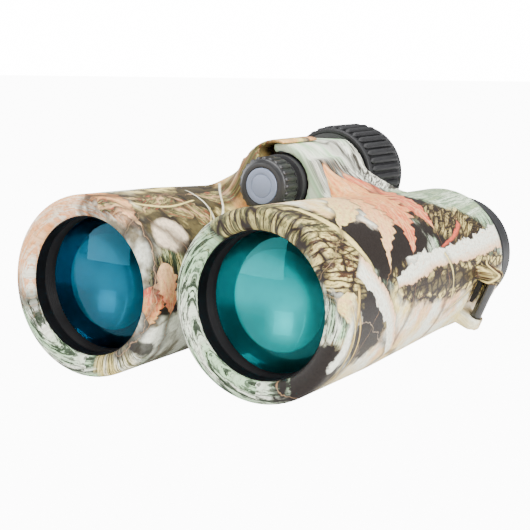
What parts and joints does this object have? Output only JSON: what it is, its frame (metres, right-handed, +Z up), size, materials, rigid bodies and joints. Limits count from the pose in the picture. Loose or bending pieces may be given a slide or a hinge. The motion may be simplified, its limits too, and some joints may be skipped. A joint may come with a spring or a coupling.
{
  "type": "binoculars",
  "caption": "Handheld roof-prism binoculars with a central hinge, focus wheel, twist-up eyecups and a tripod socket, in camouflage rubber armour.",
  "frame": {"origin": "on the central hinge axis, at the mouth of the tripod socket in the axle's front end", "axes": "-Y out of the tripod socket, towards what is looked at; +Y towards the eyes; +Z up, from the barrels to the hinge; +X to the user's left"},
  "size_m": [0.1248, 0.1384, 0.074],
  "materials": {
    "camo_rubber": "satin rubber armour, dyed in a woodland leaf and bark pattern",
    "housing_black": "glass-filled polycarbonate, matte black, hidden under the armour",
    "charcoal_rubber": "matte moulded rubber",
    "black_plastic": "matte, fine mould texture",
    "baffle_black": "dead matte black with light-trap ridges",
    "badge_grey": "satin blue-grey disc",
    "coated_lens": "polished, green-blue anti-reflection coating",
    "inner_glass": "polished clear optical glass",
    "bright_steel": "machined steel",
    "anodised_black": "black anodised, machined",
    "brass": "machined brass"
  },
  "bodies": {
    "left_half": {"left_housing": "housing_black", "left_armour": "camo_rubber", "left_objective_ring": "baffle_black", "left_objective_cell": "anodised_black", "left_objective_crown": "coated_lens", "left_objective_flint": "inner_glass", "left_focus_guide": "black_plastic", "left_prism_cage": "black_plastic", "left_half_penta_prism": "inner_glass", "left_roof_prism": "inner_glass", "left_prism_clip": "bright_steel", "left_eyepiece_tube": "black_plastic", "left_strap_bar": "black_plastic", "left_field_lens": "inner_glass", "left_eye_lens": "coated_lens", "left_eye_lens_ring": "black_plastic", "hinge_axle": "anodised_black", "hinge_lock_nut": "anodised_black", "hinge_washer": "bright_steel"},
    "right_half": {"right_housing": "housing_black", "right_armour": "camo_rubber", "right_objective_ring": "baffle_black", "right_objective_cell": "anodised_black", "right_objective_crown": "coated_lens", "right_objective_flint": "inner_glass", "right_focus_guide": "black_plastic", "right_prism_cage": "black_plastic", "right_half_penta_prism": "inner_glass", "right_roof_prism": "inner_glass", "right_prism_clip": "bright_steel", "right_eyepiece_tube": "black_plastic", "right_strap_bar": "black_plastic"},
    "left_focus_group": {"left_focus_cell": "anodised_black", "left_focus_lens": "inner_glass", "left_focus_arm": "bright_steel"},
    "right_focus_group": {"right_focus_cell": "anodised_black", "right_focus_lens": "inner_glass", "right_focus_arm": "bright_steel"},
    "focus_nut": {"focus_spool": "brass"},
    "focus_wheel": {"focus_wheel_hub": "black_plastic", "focus_wheel_grip": "charcoal_rubber", "focus_wheel_cap": "black_plastic", "focus_shaft": "bright_steel"},
    "left_eyecup_slider": {"left_eyecup_guide": "black_plastic"},
    "left_eyecup": {"left_eyecup_shell": "black_plastic", "left_eyecup_rubber": "charcoal_rubber"},
    "right_eyecup_slider": {"right_eyecup_guide": "black_plastic"},
    "right_eyecup": {"right_eyecup_shell": "black_plastic", "right_eyecup_rubber": "charcoal_rubber"},
    "diopter_dial": {"diopter_ring": "charcoal_rubber"},
    "right_ocular": {"right_ocular_cell": "black_plastic", "right_field_lens": "inner_glass", "right_eye_lens": "coated_lens", "diopter_drive_pin": "bright_steel"},
    "cap_seal": {"tripod_cap_washer": "charcoal_rubber"},
    "cap": {"tripod_cap": "charcoal_rubber", "tripod_cap_badge": "badge_grey"}
  },
  "joints": [
    {"name": "fold", "type": "hinge", "parent": "left_half", "child": "right_half", "pos_m": [0, 0, 0], "axis": [0, 1, 0], "range_deg": [-9, 22]},
    {"name": "focus_wheel_turn", "type": "hinge", "parent": "left_half", "child": "focus_wheel", "pos_m": [0, 0, 0], "axis": [0, 1, 0], "range_deg": [-240, 240]},
    {"name": "focus_nut_slide", "type": "slide", "parent": "left_half", "child": "focus_nut", "axis": [0, 1, 0], "range_m": [-0.0022, 0.0022]},
    {"name": "left_focus_slide", "type": "slide", "parent": "left_half", "child": "left_focus_group", "axis": [0, 1, 0], "range_m": [-0.0022, 0.0022]},
    {"name": "right_focus_slide", "type": "slide", "parent": "right_half", "child": "right_focus_group", "axis": [0, 1, 0], "range_m": [-0.0022, 0.0022]},
    {"name": "left_eyecup_rise", "type": "slide", "parent": "left_half", "child": "left_eyecup_slider", "axis": [0, 1, 0], "range_m": [0, 0.008]},
    {"name": "left_eyecup_twist", "type": "hinge", "parent": "left_eyecup_slider", "child": "left_eyecup", "pos_m": [0.03125, 0.072, -0.0284], "axis": [0, 1, 0], "range_deg": [0, 120]},
    {"name": "right_eyecup_rise", "type": "slide", "parent": "right_half", "child": "right_eyecup_slider", "axis": [0, 1, 0], "range_m": [0, 0.008]},
    {"name": "right_eyecup_twist", "type": "hinge", "parent": "right_eyecup_slider", "child": "right_eyecup", "pos_m": [-0.03125, 0.072, -0.0284], "axis": [0, 1, 0], "range_deg": [0, 120]},
    {"name": "diopter_turn", "type": "hinge", "parent": "right_half", "child": "diopter_dial", "pos_m": [-0.03125, 0.072, -0.0284], "axis": [0, 1, 0], "range_deg": [-40, 40]},
    {"name": "diopter_slide", "type": "slide", "parent": "right_half", "child": "right_ocular", "axis": [0, 1, 0], "range_m": [-0.001, 0.001]},
    {"name": "tripod_cap_off", "type": "slide", "parent": "left_half", "child": "cap_seal", "axis": [0, -1, 0], "range_m": [0, 0.028]},
    {"name": "tripod_cap_turn", "type": "hinge", "parent": "cap_seal", "child": "cap", "pos_m": [0, 0, 0], "axis": [0, 1, 0], "continuous": true}
  ],
  "couplings": [
    {"joint": "focus_nut_slide", "follows": "focus_wheel_turn", "m_per_rad": 0.0005252},
    {"joint": "left_focus_slide", "follows": "focus_wheel_turn", "m_per_rad": 0.0005252},
    {"joint": "right_focus_slide", "follows": "focus_wheel_turn", "m_per_rad": 0.0005252},
    {"joint": "left_eyecup_rise", "follows": "left_eyecup_twist", "m_per_rad": 0.0038197},
    {"joint": "right_eyecup_rise", "follows": "right_eyecup_twist", "m_per_rad": 0.0038197},
    {"joint": "diopter_slide", "follows": "diopter_turn", "m_per_rad": 0.0014323}
  ]
}
